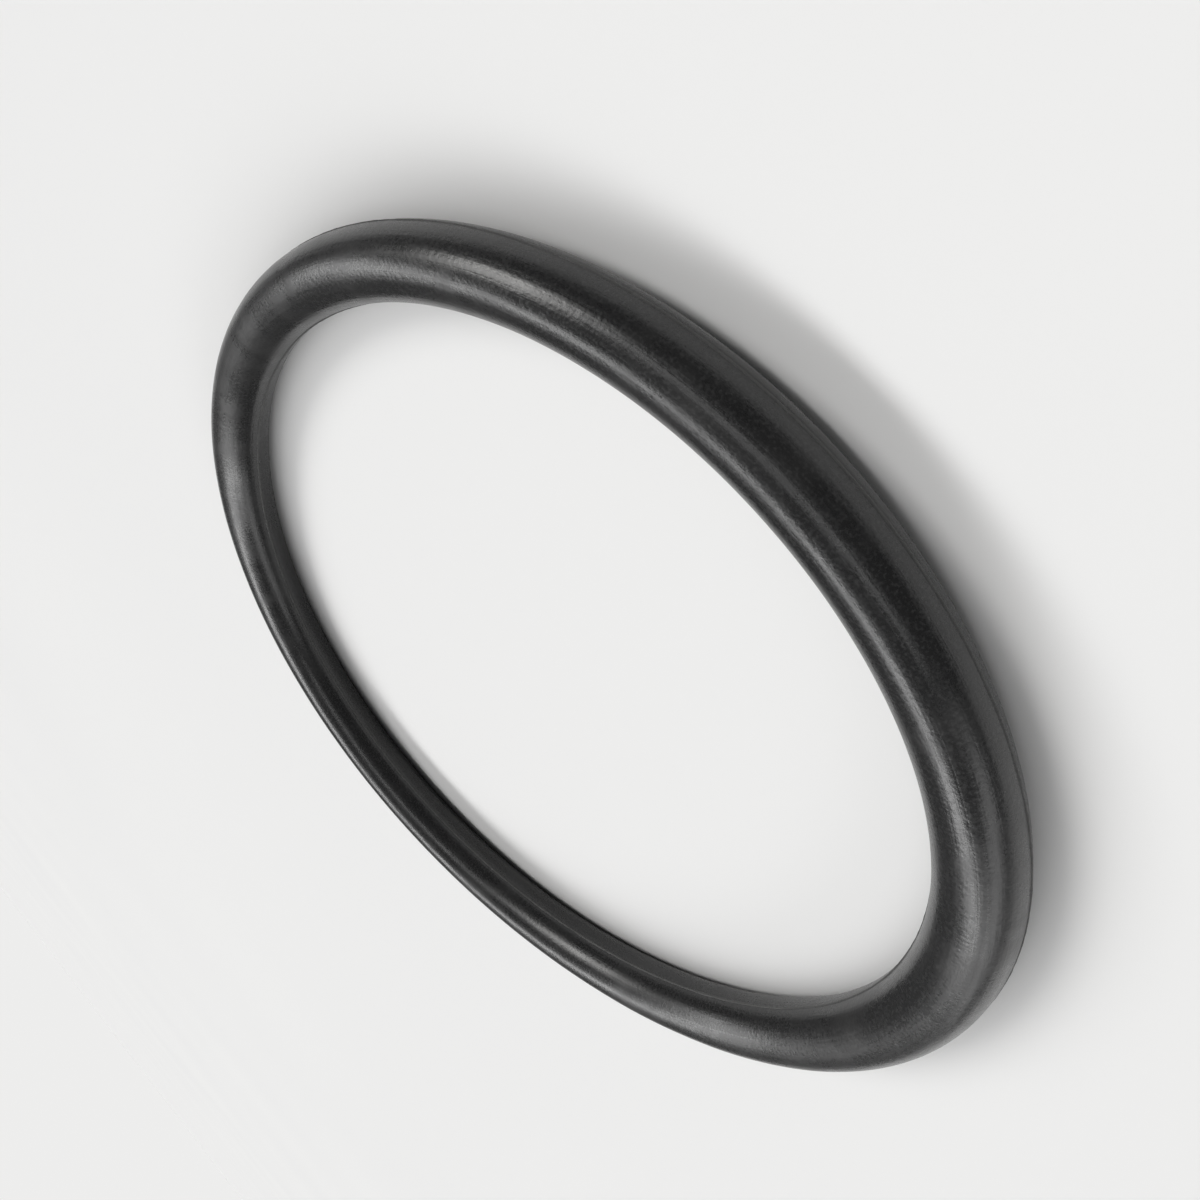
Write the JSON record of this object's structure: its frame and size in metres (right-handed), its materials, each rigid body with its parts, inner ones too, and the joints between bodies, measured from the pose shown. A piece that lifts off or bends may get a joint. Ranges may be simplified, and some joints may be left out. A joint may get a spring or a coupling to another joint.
{
  "type": "o-ring",
  "caption": "Plain rubber O-ring: one moulded ring of round section with a trimmed parting line, for sealing a shaft, piston or face groove.",
  "frame": {"origin": "centre of the ring, half way through its thickness, on the plane of the parting line", "axes": "+Z along the ring's axis, up when the ring lies flat; +X and +Y lie across the ring, which is round, so any pair does"},
  "size_m": [0.0534, 0.0534, 0.0036],
  "materials": {
    "rubber": "matte black nitrile rubber, fine mould grain"
  },
  "bodies": {
    "root": {"o_ring": "rubber"}
  },
  "joints": []
}
